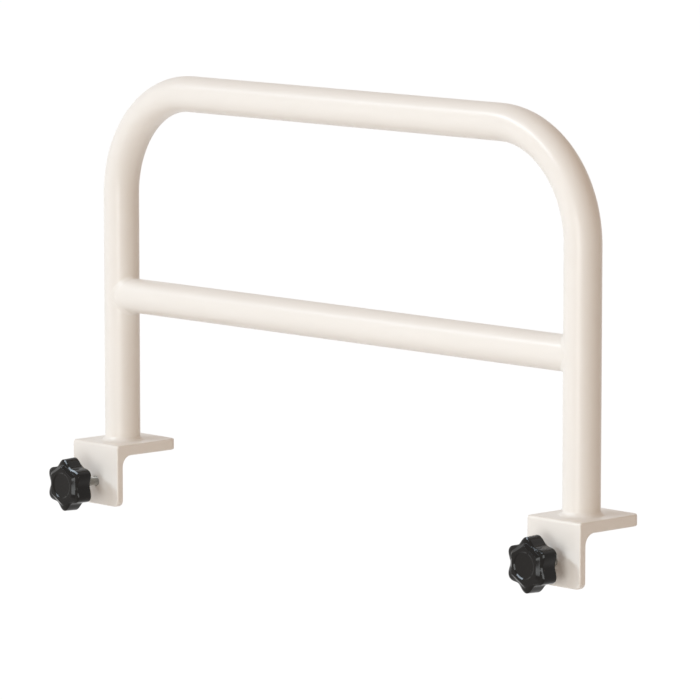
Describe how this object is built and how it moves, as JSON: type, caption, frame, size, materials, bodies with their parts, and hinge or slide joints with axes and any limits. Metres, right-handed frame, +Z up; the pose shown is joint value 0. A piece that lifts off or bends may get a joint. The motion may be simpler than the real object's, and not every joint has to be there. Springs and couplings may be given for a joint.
{
  "type": "bed guard rail",
  "caption": "Rigid tubular steel guard rail with a cross bar, welded to angle brackets that sit on a bed's side board and are held by star knob screws.",
  "frame": {"origin": "halfway between the two brackets, in their inner corner: the plane of the flanges' back faces (Y = 0) and the plane of the plates' undersides (Z = 0), which is the top outer edge of the bed's side board", "axes": "+X along the rail, +Y from the knobs across the side board towards the mattress, +Z up"},
  "size_m": [0.646, 0.1122, 0.3952],
  "materials": {
    "cream_powder_coat": "satin",
    "black_phenolic": "gloss",
    "zinc_plated_steel": "satin"
  },
  "bodies": {
    "rail": {"rail_hoop": "cream_powder_coat", "cross_bar": "cream_powder_coat", "cross_bar_weld_left": "cream_powder_coat", "leg_weld_left": "cream_powder_coat", "bracket_left": "cream_powder_coat", "cross_bar_weld_right": "cream_powder_coat", "leg_weld_right": "cream_powder_coat", "bracket_right": "cream_powder_coat"},
    "left_washer": {"knob_washer_left": "zinc_plated_steel"},
    "left_clamp": {"knob_left": "black_phenolic", "clamp_screw_left": "zinc_plated_steel"},
    "right_washer": {"knob_washer_right": "zinc_plated_steel"},
    "right_clamp": {"knob_right": "black_phenolic", "clamp_screw_right": "zinc_plated_steel"}
  },
  "joints": [
    {"name": "left_screw_travel", "type": "slide", "parent": "rail", "child": "left_washer", "axis": [0, 1, 0], "range_m": [-0.00375, 0.0125]},
    {"name": "left_screw_turn", "type": "hinge", "parent": "left_washer", "child": "left_clamp", "pos_m": [-0.292, 0, -0.025], "axis": [0, 1, 0], "range_deg": [-1083, 3603]},
    {"name": "right_screw_travel", "type": "slide", "parent": "rail", "child": "right_washer", "axis": [0, 1, 0], "range_m": [-0.00937, 0.00688]},
    {"name": "right_screw_turn", "type": "hinge", "parent": "right_washer", "child": "right_clamp", "pos_m": [0.292, 0, -0.025], "axis": [0, 1, 0], "range_deg": [-2703, 1983]}
  ],
  "couplings": [
    {"joint": "left_screw_turn", "follows": "left_screw_travel", "rad_per_m": 5026.5},
    {"joint": "right_screw_turn", "follows": "right_screw_travel", "rad_per_m": 5026.5}
  ]
}
